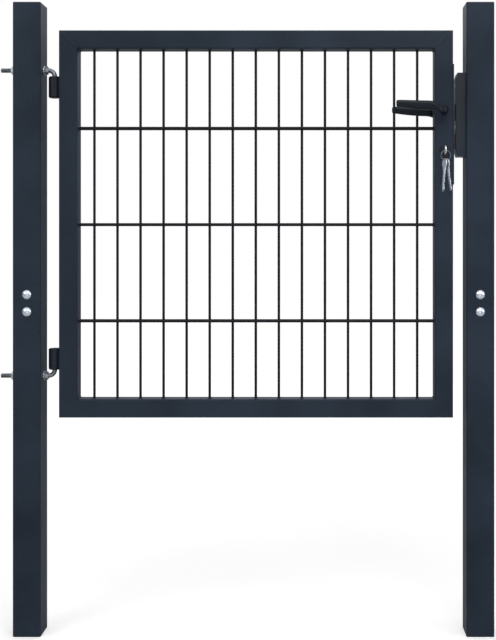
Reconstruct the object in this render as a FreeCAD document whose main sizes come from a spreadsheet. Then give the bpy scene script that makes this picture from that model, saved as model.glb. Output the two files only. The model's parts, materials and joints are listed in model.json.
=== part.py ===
import FreeCAD, Part
import math
import os
import re

import Sketcher

# Swing fence gate: two square posts, a mesh leaf on two bent hinge bolts, a lever lock and its keep.
# Frame: millimetres, +X from the hinge post to the latch post, -Y towards the lock's key side, +Z up.
# Origin: middle of the hinge post's foot.

SIZES = (
    ("post_width", 60), ("post_wall", 2), ("post_corner", 4), ("post_height", 1360),
    ("cap_flange", 3), ("cap_plug", 16), ("cap_rib", 2), ("slip_gap", 0.2), ("thread_gap", 0.05),
    ("sleeve_length", 160), ("sleeve_wall", 2), ("seam_above_leaf", 212.5),
    ("post_bolt_above_seam", 16), ("post_bolt_pitch", 37), ("post_bolt_dia", 8), ("post_bolt_tail", 2),
    ("dome_dia", 20), ("dome_rise", 5), ("post_nut_flats", 13), ("post_nut_thick", 6.5),
    ("hinge_offset", 23.4), ("hinge_rod_dia", 10), ("hinge_rod_tail", 33), ("hinge_bend", 13),
    ("rod_chamfer", 1), ("nut_flats", 16), ("nut_thick", 8), ("washer_dia", 20), ("washer_thick", 2),
    ("bolt_gap", 0.3),
    ("barrel_dia", 26), ("barrel_length", 46), ("barrel_chamfer", 2), ("barrel_neck", 16),
    ("upper_barrel_below_top", 97.5), ("lower_barrel_above_bottom", 102),
    ("pin_gap", 0.1), ("pin_short", 3), ("bend_gap", 0.5),
    ("leaf_width", 848.5), ("leaf_height", 834), ("leaf_below_post_top", 58.5),
    ("tube_width", 40), ("tube_wall", 2), ("tube_corner", 4),
    ("wire_dia", 5), ("wire_pitch", 50), ("rod_dia", 6), ("rod_pitch", 208.5), ("weld_sink", 0.5),
    ("mesh_shift", 1.3), ("rod_drop", 1.2),
    ("lock_backset", 19.4), ("spindle_below_top", 174.5), ("lock_centres", 85),
    ("forend_width", 24), ("forend_thick", 3), ("forend_below_key", 72), ("forend_above_spindle", 103),
    ("case_thick", 15), ("case_depth", 32), ("case_below_key", 42), ("case_above_spindle", 53),
    ("latch_height", 30), ("latch_thick", 12), ("latch_length", 12),
    ("dead_above_key", 22), ("dead_height", 28), ("dead_thick", 10), ("dead_length", 10),
    ("bolt_back", 0.3), ("screw_dia", 5), ("screw_head_dia", 9.5), ("forend_screw_length", 14),
    ("screw_inset", 14), ("keep_screw_inset", 24), ("keep_screw_reach", 8),
    ("keep_gap", 3.6), ("keep_depth", 20.5), ("keep_width", 40), ("keep_below_key", 12),
    ("keep_above_spindle", 83), ("keep_slope_rise", 12), ("keep_slope_run", 3),
    ("keep_pocket_depth", 14), ("keep_pocket_gap", 3),
    ("cylinder_dia", 17), ("cylinder_height", 33), ("cylinder_leg", 10), ("cylinder_proud", 5),
    ("plug_dia", 13), ("plug_length", 47), ("turn_gap", 0.1),
    ("spindle_square", 8), ("spindle_play", 0.6), ("spindle_reach", 50),
    ("neck_width", 12), ("neck_height", 15), ("lever_gap", 0.3), ("lever_out", 42),
    ("lever_length", 112.5), ("grip_thick", 16), ("tip_thick", 13), ("knee_start", 5.5), ("knee_run", 20),
    ("knee_rise", 7.3), ("knee_height", 20.5), ("tip_rise", 12), ("tip_height", 15),
    ("elbow_radius", 11), ("grip_round", 4),
    ("key_thick", 2.2), ("key_blade", 8), ("blade_length", 45), ("shoulder_width", 11),
    ("shoulder_length", 4), ("bow_dia", 21), ("bow_hole", 6), ("bow_hole_inset", 5),
    ("bitting_pitch", 6), ("bitting_flat", 1.2), ("ring_dia", 20.6), ("ring_wire", 1.6), ("ring_gap", 0.3),
    ("hang_drop", 0.9), ("hang_spread", 2.2),
)
ROD_ROWS = 3
WIRE_SIDES = 6
BITTING_CUTS = (1.6, 2.6, 1.1, 2.2, 1.4)
KEY_LEANS = (("left", -3), ("right", 8))
KEY_YAW = 17
SHARP_COSINE = 0.8
PAST = "1"

doc = FreeCAD.newDocument("swing_fence_gate")
sheet = doc.addObject("Spreadsheet::Sheet", "Sizes")
for row, (alias, size) in enumerate(SIZES, start=1):
    sheet.set("A%d" % row, alias)
    sheet.set("B%d" % row, str(size))
    sheet.setAlias("B%d" % row, alias)
doc.recompute()

ALIASES = {alias for alias, size in SIZES}

# Places along X, from the hinge post across the leaf to the latch post.
POST_FACE = "(post_width / 2)"
HINGE_POST_X = "0"
PIN_X = "(%s + hinge_offset)" % POST_FACE
LEAF_X0 = "(%s + barrel_dia / 2)" % PIN_X
LEAF_X1 = "(%s + leaf_width)" % LEAF_X0
LOCK_X = "(%s - lock_backset)" % LEAF_X1
FOREND_X1 = "(%s + forend_thick)" % LEAF_X1
KEEP_X0 = "(%s + keep_gap)" % FOREND_X1
KEEP_X1 = "(%s + keep_depth)" % KEEP_X0
LATCH_POST_X = "(%s + post_width / 2)" % KEEP_X1

# Places along Z, from the posts' tops down.
LEAF_Z1 = "(post_height - leaf_below_post_top)"
LEAF_Z0 = "(%s - leaf_height)" % LEAF_Z1
SEAM_Z = "(%s + seam_above_leaf)" % LEAF_Z0
SPINDLE_Z = "(%s - spindle_below_top)" % LEAF_Z1
KEY_Z = "(%s - lock_centres)" % SPINDLE_Z
DEAD_Z = "(%s + dead_above_key)" % KEY_Z
FOREND_Z0 = "(%s - forend_below_key)" % KEY_Z
FOREND_Z1 = "(%s + forend_above_spindle)" % SPINDLE_Z
CASE_Z0 = "(%s - case_below_key)" % KEY_Z
CASE_Z1 = "(%s + case_above_spindle)" % SPINDLE_Z
KEEP_Z0 = "(%s - keep_below_key)" % KEY_Z
KEEP_Z1 = "(%s + keep_above_spindle)" % SPINDLE_Z
UPPER_BARREL_Z1 = "(%s - upper_barrel_below_top)" % LEAF_Z1
LOWER_BARREL_Z0 = "(%s + lower_barrel_above_bottom)" % LEAF_Z0

# Places along Y, as distances from the leaf's middle.
LEAF_FACE = "(tube_width / 2)"
CYLINDER_END = "(%s + cylinder_proud)" % LEAF_FACE
KEY_HOLE_Y = "(%s + shoulder_length + bow_dia - bow_hole_inset)" % CYLINDER_END
NECK_FACE = "(%s + lever_gap)" % LEAF_FACE
GRIP_FACE = "(%s + lever_out)" % LEAF_FACE

X_AXIS = (1, 0, 0)
Y_AXIS = (0, 1, 0)
Z_AXIS = (0, 0, 1)
NODES = []


def formula(text):
    """Point each alias in a formula at its cell of the sheet."""
    def cell(found):
        word = found.group(0)
        return "Sizes." + word if word in ALIASES else word
    return re.sub(r"\b[a-z_][a-z_0-9]*\b", cell, text)


def bind(thing, path, text):
    thing.setExpression(path, formula(text))


def place(thing, x="0", y="0", z="0"):
    bind(thing, "Placement.Base.x", x)
    bind(thing, "Placement.Base.y", y)
    bind(thing, "Placement.Base.z", z)


def rotation(axis, angle):
    return FreeCAD.Rotation(FreeCAD.Vector(*axis), angle)


def turn(thing, turning):
    thing.Placement = FreeCAD.Placement(FreeCAD.Vector(), turning)


def node(thing, name):
    """Name a finished piece; its label is its file's name."""
    thing.Label = name
    NODES.append(thing)


# Pieces made from sketches.

def new_body(name):
    body = doc.addObject("PartDesign::Body", name)
    body.Label = name
    return body


def sketch_on(body, plane, start):
    """A sketch on one of the body's own planes, shifted along the plane's normal by start."""
    sketch = body.newObject("Sketcher::SketchObject", body.Name + "_sketch")
    origin = [feature for feature in body.Origin.OriginFeatures if feature.Role == plane][0]
    sketch.AttachmentSupport = [(origin, "")]
    sketch.MapMode = "FlatFace"
    bind(sketch, "AttachmentOffset.Base.z", start)
    return sketch


def fix_point(sketch, line, point, across, up):
    """Hold one point of a line or circle at named distances from the sketch's own axes."""
    for kind, amount in (("DistanceX", across), ("DistanceY", up)):
        number = sketch.addConstraint(Sketcher.Constraint(kind, -1, 1, line, point, 1.0))
        bind(sketch, "Constraints[%d]" % number, amount)


def draw_polygon(sketch, corners):
    """A closed outline whose corners are pairs of formulas."""
    first = sketch.GeometryCount
    count = len(corners)
    ring = [FreeCAD.Vector(math.cos(2 * math.pi * k / count), math.sin(2 * math.pi * k / count), 0)
            for k in range(count)]
    for k in range(count):
        sketch.addGeometry(Part.LineSegment(ring[k], ring[(k + 1) % count]), False)
    for k in range(count):
        sketch.addConstraint(Sketcher.Constraint("Coincident", first + k, 2, first + (k + 1) % count, 1))
    for k, (across, up) in enumerate(corners):
        fix_point(sketch, first + k, 1, across, up)


def draw_rectangle(sketch, x0, x1, y0, y1):
    draw_polygon(sketch, ((x0, y0), (x1, y0), (x1, y1), (x0, y1)))


def draw_oblong(sketch, x, y, width, height):
    """A rectangle about a middle point."""
    draw_rectangle(sketch, "%s - (%s) / 2" % (x, width), "%s + (%s) / 2" % (x, width),
                   "%s - (%s) / 2" % (y, height), "%s + (%s) / 2" % (y, height))


def draw_square(sketch, x, y, side):
    draw_oblong(sketch, x, y, side, side)


def draw_circle(sketch, x, y, diameter):
    circle = sketch.addGeometry(Part.Circle(FreeCAD.Vector(1, 1, 0), FreeCAD.Vector(*Z_AXIS), 1.0), False)
    fix_point(sketch, circle, 3, x, y)
    number = sketch.addConstraint(Sketcher.Constraint("Diameter", circle, 2.0))
    bind(sketch, "Constraints[%d]" % number, diameter)


def pad(body, plane, start, length, draw, *drawing):
    """Add material from start along the plane's normal; drawing holds what the outline needs."""
    sketch = sketch_on(body, plane, start)
    draw(sketch, *drawing)
    feature = body.newObject("PartDesign::Pad", body.Name + "_pad")
    feature.Profile = sketch
    bind(feature, "Length", length)
    doc.recompute()


def pocket(body, plane, start, length, draw, *drawing):
    """Take material away from start along the plane's normal."""
    before = body.Shape.Volume
    sketch = sketch_on(body, plane, start)
    draw(sketch, *drawing)
    feature = body.newObject("PartDesign::Pocket", body.Name + "_pocket")
    feature.Profile = sketch
    feature.Reversed = True
    bind(feature, "Length", length)
    doc.recompute()
    if not body.Shape.Volume < before:
        raise RuntimeError("%s: the pocket %s cut nothing" % (body.Label, feature.Name))


def dress(body, kind, size_path, size, wanted):
    """Round or chamfer the edges that are wanted."""
    tip = body.Tip
    names = ["Edge%d" % number for number, edge in enumerate(tip.Shape.Edges, start=1) if wanted(edge)]
    if not names:
        raise RuntimeError("%s: no edge for the %s" % (body.Label, kind.lower()))
    feature = body.newObject("PartDesign::" + kind, body.Name + "_" + kind.lower())
    feature.Base = (tip, names)
    bind(feature, size_path, size)
    body.Tip = feature
    doc.recompute()


def fillet(body, radius, wanted):
    dress(body, "Fillet", "Radius", radius, wanted)


def chamfer(body, size, wanted):
    dress(body, "Chamfer", "Size", size, wanted)


def runs_along(axis):
    """A test for straight edges parallel to the axis."""
    def test(edge):
        if edge.Curve.TypeId != "Part::GeomLine":
            return False
        ends = edge.Vertexes[-1].Point - edge.Vertexes[0].Point
        return abs(ends.normalize().dot(FreeCAD.Vector(*axis))) > 0.999
    return test


def is_circle(edge):
    return edge.Curve.TypeId == "Part::GeomCircle"


# Pieces made from primitives.

ALONG = {X_AXIS: rotation(Y_AXIS, 90), Y_AXIS: rotation(X_AXIS, -90), Z_AXIS: FreeCAD.Rotation()}


def cylinder(name, diameter, length, axis, x, y, z):
    """A round bar that starts at the point and runs along +X, +Y or +Z."""
    bar = doc.addObject("Part::Cylinder", name)
    turn(bar, ALONG[axis])
    bind(bar, "Radius", "(%s) / 2" % diameter)
    bind(bar, "Height", length)
    place(bar, x, y, z)
    return bar


def cone(name, start_dia, end_dia, length, axis, x, y, z):
    """A round taper that starts at the point and runs along +X, +Y or +Z."""
    taper = doc.addObject("Part::Cone", name)
    turn(taper, ALONG[axis])
    bind(taper, "Radius1", "(%s) / 2" % start_dia)
    bind(taper, "Radius2", "(%s) / 2" % end_dia)
    bind(taper, "Height", length)
    place(taper, x, y, z)
    return taper


def many_sided_bar(name, sides, across_flats, length, axis, x, y, z):
    """A straight bar with flat sides, one pair of them level."""
    bar = doc.addObject("Part::Prism", name)
    bar.Polygon = sides
    half_angle = 180 / sides
    flats_level = {X_AXIS: 0 if sides % 4 else half_angle, Y_AXIS: half_angle, Z_AXIS: half_angle}[axis]
    turn(bar, ALONG[axis].multiply(rotation(Z_AXIS, flats_level)))
    bind(bar, "Circumradius", "(%s) / 2 / cos(%g deg)" % (across_flats, half_angle))
    bind(bar, "Height", length)
    place(bar, x, y, z)
    return bar


def cut(name, base, tool):
    result = doc.addObject("Part::Cut", name)
    result.Base = base
    result.Tool = tool
    return result


def fuse(name, things):
    result = doc.addObject("Part::MultiFuse", name)
    result.Shapes = things
    result.Refine = True
    return result


def compound(name, things):
    result = doc.addObject("Part::Compound", name)
    result.Links = things
    return result


def hex_nut(name, flats, thick, thread_dia, axis, x, y, z):
    block = many_sided_bar(name + "_block", 6, flats, thick, axis, x, y, z)
    return cut(name, block, cylinder(name + "_bore", thread_dia + " + 2 * thread_gap", thick, axis, x, y, z))


# Posts: square tubes in two halves, which meet over an inner sleeve.

def square_tube(body, plane, across, start, length, width, wall, corner):
    """A hollow square bar along a plane's normal, with rounded outer corners."""
    pad(body, plane, start, length, draw_square, *across, width)
    fillet(body, corner, runs_along(Z_AXIS if plane == "XY_Plane" else X_AXIS))
    pocket(body, plane, start, length, draw_square, *across, "%s - 2 * %s" % (width, wall))


def drill_through(body, plane, face, across, level, diameter):
    """A round hole through both walls of a tube whose faces lie at this distance from its middle."""
    pocket(body, plane, "-%s - %s" % (face, PAST), "2 * %s + 2 * %s" % (face, PAST),
           draw_circle, across, level, diameter)


INSIDE_POST = "(post_width - 2 * post_wall - 2 * slip_gap)"
POST_BOLT_LEVELS = ("%s + post_bolt_above_seam" % SEAM_Z,
                    "%s + post_bolt_above_seam + post_bolt_pitch" % SEAM_Z)
BOLT_HOLE = "(post_bolt_dia + 2 * bolt_gap)"
ROD_HOLE = "(hinge_rod_dia + 2 * bolt_gap)"
ROD_LEVELS = {"upper": "(%s + bend_gap + hinge_bend)" % UPPER_BARREL_Z1,
              "lower": "(%s - bend_gap - hinge_bend)" % LOWER_BARREL_Z0}

for post, post_x in (("hinge_post", HINGE_POST_X), ("latch_post", LATCH_POST_X)):
    halves = {"lower": ("cap_flange", "%s - cap_flange" % SEAM_Z),
              "upper": (SEAM_Z, "post_height - cap_flange - %s" % SEAM_Z)}
    for half, (start, length) in halves.items():
        tube = new_body("%s_%s" % (post, half))
        square_tube(tube, "XY_Plane", (post_x, "0"), start, length, "post_width", "post_wall", "post_corner")
        if post == "hinge_post":
            drill_through(tube, "YZ_Plane", POST_FACE, "0", ROD_LEVELS[half], ROD_HOLE)
        node(tube, tube.Name)
    sleeve = new_body(post + "_sleeve")
    square_tube(sleeve, "XY_Plane", (post_x, "0"), "%s - sleeve_length / 2" % SEAM_Z, "sleeve_length",
                INSIDE_POST, "sleeve_wall", "post_corner - post_wall / 2")
    for level in POST_BOLT_LEVELS:
        for body in (doc.getObject(post + "_upper"), sleeve):
            drill_through(body, "XZ_Plane", POST_FACE, post_x, level, BOLT_HOLE)
    node(sleeve, sleeve.Name)

    # End caps: a plate as wide as the tube and a hollow plug inside it.
    for end, plate_z, plug_z in (("foot", "0", "cap_flange"),
                                 ("top", "post_height - cap_flange", "post_height - cap_flange - cap_plug")):
        cap = new_body("%s_%s_cap" % (post, end))
        pad(cap, "XY_Plane", plate_z, "cap_flange", draw_square, post_x, "0", "post_width")
        fillet(cap, "post_corner", runs_along(Z_AXIS))
        pad(cap, "XY_Plane", plug_z, "cap_plug", draw_square, post_x, "0", INSIDE_POST)
        pocket(cap, "XY_Plane", plug_z, "cap_plug", draw_square, post_x, "0", INSIDE_POST + " - 2 * cap_rib")
        node(cap, cap.Name)

# Dome-headed bolts hold each upper post half to its sleeve, with nuts behind.
DOME_RADIUS = "((dome_dia^2 / 4 + dome_rise^2) / (2 * dome_rise))"
bolts = []
nuts = []
for post, post_x in (("hinge", HINGE_POST_X), ("latch", LATCH_POST_X)):
    for number, level in enumerate(POST_BOLT_LEVELS, start=1):
        name = "%s_post_bolt_%d" % (post, number)
        shank = cylinder(name + "_shank", "post_bolt_dia", "post_width + post_nut_thick + post_bolt_tail",
                         Y_AXIS, post_x, "-" + POST_FACE, level)
        dome = doc.addObject("Part::Sphere", name + "_dome")
        turn(dome, rotation(X_AXIS, 90))
        bind(dome, "Radius", DOME_RADIUS)
        bind(dome, "Angle1", "asin((%s - dome_rise) / %s)" % (DOME_RADIUS, DOME_RADIUS))
        dome.Angle2 = 90
        place(dome, post_x, "-%s + %s - dome_rise" % (POST_FACE, DOME_RADIUS), level)
        bolts.append(fuse(name, [shank, dome]))
        nuts.append(hex_nut("%s_post_nut_%d" % (post, number), "post_nut_flats", "post_nut_thick",
                            "post_bolt_dia", Y_AXIS, post_x, POST_FACE, level))
node(compound("post_bolts", bolts), "post_bolts")
node(compound("post_bolt_nuts", nuts), "post_bolt_nuts")

# Hinge bolts: threaded rods through the hinge post, bent into the pins. The upper pin points down and
# the lower one up, so that the leaf can't be lifted off. Each has a nut and a washer on both sides.
BEND_X = "(%s - hinge_bend)" % PIN_X
ROD_X0 = "(-%s - hinge_rod_tail)" % POST_FACE
PIN_LENGTH = "(bend_gap + barrel_length - pin_short)"
ROD_POINT = "hinge_rod_dia - 2 * rod_chamfer"
hinge_nuts = []
washers = []
for side, level in ROD_LEVELS.items():
    name = side + "_hinge_bolt"
    down = side == "upper"
    bend_z = "(%s - hinge_bend)" % level if down else "(%s + hinge_bend)" % level
    rod_end = cone(name + "_end", ROD_POINT, "hinge_rod_dia", "rod_chamfer", X_AXIS, ROD_X0, "0", level)
    rod = cylinder(name + "_rod", "hinge_rod_dia", "%s - %s - rod_chamfer" % (BEND_X, ROD_X0), X_AXIS,
                   "%s + rod_chamfer" % ROD_X0, "0", level)
    bend = doc.addObject("Part::Torus", name + "_bend")
    turn(bend, rotation(X_AXIS, 90 if down else -90))
    bind(bend, "Radius1", "hinge_bend")
    bind(bend, "Radius2", "hinge_rod_dia / 2")
    bend.Angle3 = 90
    place(bend, BEND_X, "0", bend_z)
    if down:
        pin = cylinder(name + "_pin", "hinge_rod_dia", "%s - rod_chamfer" % PIN_LENGTH, Z_AXIS,
                       PIN_X, "0", "%s - %s + rod_chamfer" % (bend_z, PIN_LENGTH))
        pin_end = cone(name + "_pin_end", ROD_POINT, "hinge_rod_dia", "rod_chamfer", Z_AXIS,
                       PIN_X, "0", "%s - %s" % (bend_z, PIN_LENGTH))
    else:
        pin = cylinder(name + "_pin", "hinge_rod_dia", "%s - rod_chamfer" % PIN_LENGTH, Z_AXIS,
                       PIN_X, "0", bend_z)
        pin_end = cone(name + "_pin_end", "hinge_rod_dia", ROD_POINT, "rod_chamfer", Z_AXIS,
                       PIN_X, "0", "%s + %s - rod_chamfer" % (bend_z, PIN_LENGTH))
    node(fuse(name, [rod_end, rod, bend, pin, pin_end]), name)
    for where, washer_x, nut_x in (
            ("inner", POST_FACE, "%s + washer_thick" % POST_FACE),
            ("outer", "-%s - washer_thick" % POST_FACE, "-%s - washer_thick - nut_thick" % POST_FACE)):
        name = "%s_%s_washer" % (side, where)
        disc = cylinder(name + "_disc", "washer_dia", "washer_thick", X_AXIS, washer_x, "0", level)
        hole = cylinder(name + "_hole", ROD_HOLE, "washer_thick", X_AXIS, washer_x, "0", level)
        washers.append(cut(name, disc, hole))
        hinge_nuts.append(hex_nut("%s_%s_nut" % (side, where), "nut_flats", "nut_thick", "hinge_rod_dia",
                                  X_AXIS, nut_x, "0", level))
node(compound("hinge_nuts", hinge_nuts), "hinge_nuts")
node(compound("hinge_washers", washers), "hinge_washers")


# The leaf's frame: four square tubes, mitred at the corners.

def mitre(body, corners):
    """Cut away a triangle, drawn in the leaf's plane, from one end of a tube."""
    pocket(body, "XZ_Plane", "-%s - %s" % (LEAF_FACE, PAST), "tube_width + 2 * %s" % PAST,
           draw_polygon, corners)


for name, outer, inner, middle in (
        ("hinge_stile", LEAF_X0, "%s + tube_width" % LEAF_X0, "%s + tube_width / 2" % LEAF_X0),
        ("lock_stile", LEAF_X1, "%s - tube_width" % LEAF_X1, "%s - tube_width / 2" % LEAF_X1)):
    stile = new_body(name)
    square_tube(stile, "XY_Plane", (middle, "0"), LEAF_Z0, "leaf_height",
                "tube_width", "tube_wall", "tube_corner")
    mitre(stile, ((outer, LEAF_Z0), (inner, LEAF_Z0), (inner, "%s + tube_width" % LEAF_Z0)))
    mitre(stile, ((outer, LEAF_Z1), (inner, LEAF_Z1), (inner, "%s - tube_width" % LEAF_Z1)))
    node(stile, name)
for name, outer, inner, middle in (
        ("top_rail", LEAF_Z1, "%s - tube_width" % LEAF_Z1, "%s - tube_width / 2" % LEAF_Z1),
        ("bottom_rail", LEAF_Z0, "%s + tube_width" % LEAF_Z0, "%s + tube_width / 2" % LEAF_Z0)):
    rail = new_body(name)
    square_tube(rail, "YZ_Plane", ("0", middle), LEAF_X0, "leaf_width",
                "tube_width", "tube_wall", "tube_corner")
    mitre(rail, ((LEAF_X0, outer), (LEAF_X0, inner), ("%s + tube_width" % LEAF_X0, inner)))
    mitre(rail, ((LEAF_X1, outer), (LEAF_X1, inner), ("%s - tube_width" % LEAF_X1, inner)))
    node(rail, name)

# Welded mesh: upright wires between a pair of rods at each level.
inside_width = sheet.leaf_width - 2 * sheet.tube_width
wires_each_side = int((inside_width / 2 - sheet.wire_dia) // sheet.wire_pitch)
wires = []
for number in range(-wires_each_side, wires_each_side + 1):
    wires.append(many_sided_bar("upright_%d" % (number + wires_each_side + 1), WIRE_SIDES, "wire_dia",
                                "leaf_height - 2 * tube_width", Z_AXIS,
                                "%s + leaf_width / 2 - mesh_shift + %d * wire_pitch" % (LEAF_X0, number), "0",
                                "%s + tube_width" % LEAF_Z0))
for row in range(ROD_ROWS):
    for face, sign in (("front", "-"), ("back", "")):
        wires.append(many_sided_bar("%s_rod_%d" % (face, row + 1), WIRE_SIDES, "rod_dia",
                                    "leaf_width - 2 * tube_width", X_AXIS, "%s + tube_width" % LEAF_X0,
                                    "%s(wire_dia / 2 + rod_dia / 2 - weld_sink)" % sign,
                                    "%s + leaf_height / 2 - rod_drop + %d * rod_pitch"
                                    % (LEAF_Z0, row - ROD_ROWS // 2)))
node(fuse("mesh_panel", wires), "mesh_panel")

# Hinge barrels: bored sleeves, each on a short neck that is welded to the hinge stile.
for side, barrel_z in (("upper", "%s - barrel_length" % UPPER_BARREL_Z1), ("lower", LOWER_BARREL_Z0)):
    barrel = new_body(side + "_hinge_barrel")
    pad(barrel, "XY_Plane", barrel_z, "barrel_length", draw_circle, PIN_X, "0", "barrel_dia")
    chamfer(barrel, "barrel_chamfer", is_circle)
    pad(barrel, "XY_Plane", "%s + 2 * barrel_chamfer" % barrel_z, "barrel_length - 4 * barrel_chamfer",
        draw_rectangle, PIN_X, LEAF_X0, "-barrel_neck / 2", "barrel_neck / 2")
    pocket(barrel, "XY_Plane", barrel_z, "barrel_length",
           draw_circle, PIN_X, "0", "hinge_rod_dia + 2 * pin_gap")
    node(barrel, barrel.Name)


# Lock: a case inside the lock stile, a forend on the stile's edge, and a latch and a dead bolt drawn back.

def cylinder_outline(gap):
    """The parts of a profile cylinder's outline: a round barrel over a narrow leg with a round end."""
    leg = "cylinder_leg + 2 * %s" % gap
    leg_z = "(%s + cylinder_dia / 2 - cylinder_height + cylinder_leg / 2)" % KEY_Z
    return ((draw_circle, LOCK_X, KEY_Z, "cylinder_dia + 2 * %s" % gap),
            (draw_rectangle, "%s - (%s) / 2" % (LOCK_X, leg), "%s + (%s) / 2" % (LOCK_X, leg), leg_z, KEY_Z),
            (draw_circle, LOCK_X, leg_z, leg))


def cylinder_hole(body, face):
    for drawing in cylinder_outline("bolt_gap"):
        pocket(body, "XZ_Plane", "-%s - %s" % (face, PAST), "2 * %s + 2 * %s" % (face, PAST), *drawing)


SPINDLE_HOLE = "spindle_square * sqrt(2) + spindle_play"
CASE_FACE = "(case_thick / 2)"
FOREND_SCREW_LEVELS = ("%s + screw_inset" % FOREND_Z0, "%s - screw_inset" % FOREND_Z1)
TAPPED_HOLE = "screw_dia + 2 * thread_gap"
SCREW_HOLE = "(screw_dia + 2 * bolt_gap)"

lock_stile = doc.getObject("lock_stile")
pocket(lock_stile, "YZ_Plane", "%s - tube_wall - %s" % (LEAF_X1, PAST), "tube_wall + 2 * %s" % PAST,
       draw_rectangle, "-%s - slip_gap" % CASE_FACE, "%s + slip_gap" % CASE_FACE,
       "%s - slip_gap" % CASE_Z0, "%s + slip_gap" % CASE_Z1)
drill_through(lock_stile, "XZ_Plane", LEAF_FACE, LOCK_X, SPINDLE_Z, SPINDLE_HOLE)
cylinder_hole(lock_stile, LEAF_FACE)
for level in FOREND_SCREW_LEVELS:
    pocket(lock_stile, "YZ_Plane", "%s - tube_wall - %s" % (LEAF_X1, PAST), "tube_wall + 2 * %s" % PAST,
           draw_circle, "0", level, TAPPED_HOLE)

case = new_body("lock_case")
pad(case, "XZ_Plane", "-" + CASE_FACE, "case_thick",
    draw_rectangle, "%s - case_depth" % LEAF_X1, LEAF_X1, CASE_Z0, CASE_Z1)
drill_through(case, "XZ_Plane", CASE_FACE, LOCK_X, SPINDLE_Z, SPINDLE_HOLE)
cylinder_hole(case, CASE_FACE)

forend = new_body("lock_forend")
pad(forend, "YZ_Plane", LEAF_X1, "forend_thick",
    draw_rectangle, "-forend_width / 2", "forend_width / 2", FOREND_Z0, FOREND_Z1)

LOCK_BOLTS = (("latch_bolt", SPINDLE_Z, "latch_height", "latch_thick", "latch_length"),
              ("dead_bolt", DEAD_Z, "dead_height", "dead_thick", "dead_length"))
for name, level, height, thick, length in LOCK_BOLTS:
    bolt = new_body(name)
    bolt_x0 = "%s - bolt_back - %s" % (FOREND_X1, length)
    hole = (draw_oblong, "0", level, "%s + 2 * slip_gap" % thick, "%s + 2 * slip_gap" % height)
    pad(bolt, "YZ_Plane", bolt_x0, length, draw_oblong, "0", level, thick, height)
    pocket(case, "YZ_Plane", "%s - slip_gap" % bolt_x0, "%s + %s" % (length, PAST), *hole)
    pocket(forend, "YZ_Plane", "%s - %s" % (LEAF_X1, PAST), "forend_thick + 2 * %s" % PAST, *hole)
    node(bolt, name)
node(case, "lock_case")


def screw_seats(body, levels, hole_start, hole_length, face_x):
    """Screw holes along X, each with a conical seat that opens on the face at face_x."""
    for level in levels:
        pocket(body, "YZ_Plane", hole_start, hole_length, draw_circle, "0", level, SCREW_HOLE)

    def rim(edge):
        hole_radius = sheet.screw_dia / 2 + sheet.bolt_gap
        return (is_circle(edge) and abs(edge.Curve.Radius - hole_radius) < 0.01
                and abs(edge.CenterOfMass.x - face_x) < 0.01)

    chamfer(body, "(screw_head_dia - screw_dia) / 2", rim)


screw_seats(forend, FOREND_SCREW_LEVELS, "%s - %s" % (LEAF_X1, PAST), "forend_thick + 2 * %s" % PAST,
            forend.Shape.BoundBox.XMax)
node(forend, "lock_forend")
HEAD_DEPTH = "((screw_head_dia - screw_dia) / 2)"
forend_screws = []
for number, level in enumerate(FOREND_SCREW_LEVELS, start=1):
    name = "forend_screw_%d" % number
    shank = cylinder(name + "_shank", "screw_dia", "forend_screw_length - %s" % HEAD_DEPTH, X_AXIS,
                     "%s - forend_screw_length" % FOREND_X1, "0", level)
    head = cone(name + "_head", "screw_dia", "screw_head_dia", HEAD_DEPTH, X_AXIS,
                "%s - %s" % (FOREND_X1, HEAD_DEPTH), "0", level)
    forend_screws.append(fuse(name, [shank, head]))
node(compound("forend_screws", forend_screws), "forend_screws")

# Keep: a block on the latch post with sloped ends and a pocket for each bolt.
DEAD_POCKET_Z1 = "(%s + dead_height / 2 + keep_pocket_gap)" % DEAD_Z
LATCH_POCKET_Z0 = "(%s - latch_height / 2 - keep_pocket_gap)" % SPINDLE_Z
KEEP_SCREW_LEVELS = ("(%s + %s) / 2" % (DEAD_POCKET_Z1, LATCH_POCKET_Z0), "%s - keep_screw_inset" % KEEP_Z1)
keep = new_body("keep")
pad(keep, "XZ_Plane", "-keep_width / 2", "keep_width", draw_polygon, (
    (KEEP_X1, KEEP_Z0), (KEEP_X1, KEEP_Z1), ("%s + keep_slope_run" % KEEP_X0, KEEP_Z1),
    (KEEP_X0, "%s - keep_slope_rise" % KEEP_Z1), (KEEP_X0, "%s + keep_slope_rise" % KEEP_Z0),
    ("%s + keep_slope_run" % KEEP_X0, KEEP_Z0)))
for name, level, height, thick, length in LOCK_BOLTS:
    pocket(keep, "YZ_Plane", "%s - %s" % (KEEP_X0, PAST), "keep_pocket_depth + %s" % PAST,
           draw_oblong, "0", level, "%s + 2 * keep_pocket_gap" % thick, "%s + 2 * keep_pocket_gap" % height)
screw_seats(keep, KEEP_SCREW_LEVELS, "%s - %s" % (KEEP_X0, PAST), "keep_depth + 2 * %s" % PAST,
            keep.Shape.BoundBox.XMin)
node(keep, "keep")
latch_upper = doc.getObject("latch_post_upper")
keep_screws = []
for number, level in enumerate(KEEP_SCREW_LEVELS, start=1):
    pocket(latch_upper, "YZ_Plane", "%s - %s" % (KEEP_X1, PAST), "post_wall + 2 * %s" % PAST,
           draw_circle, "0", level, TAPPED_HOLE)
    name = "keep_screw_%d" % number
    head = cone(name + "_head", "screw_head_dia", "screw_dia", HEAD_DEPTH, X_AXIS, KEEP_X0, "0", level)
    shank = cylinder(name + "_shank", "screw_dia", "keep_depth + keep_screw_reach - %s" % HEAD_DEPTH, X_AXIS,
                     "%s + %s" % (KEEP_X0, HEAD_DEPTH), "0", level)
    keep_screws.append(fuse(name, [head, shank]))
node(compound("keep_screws", keep_screws), "keep_screws")

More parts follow.
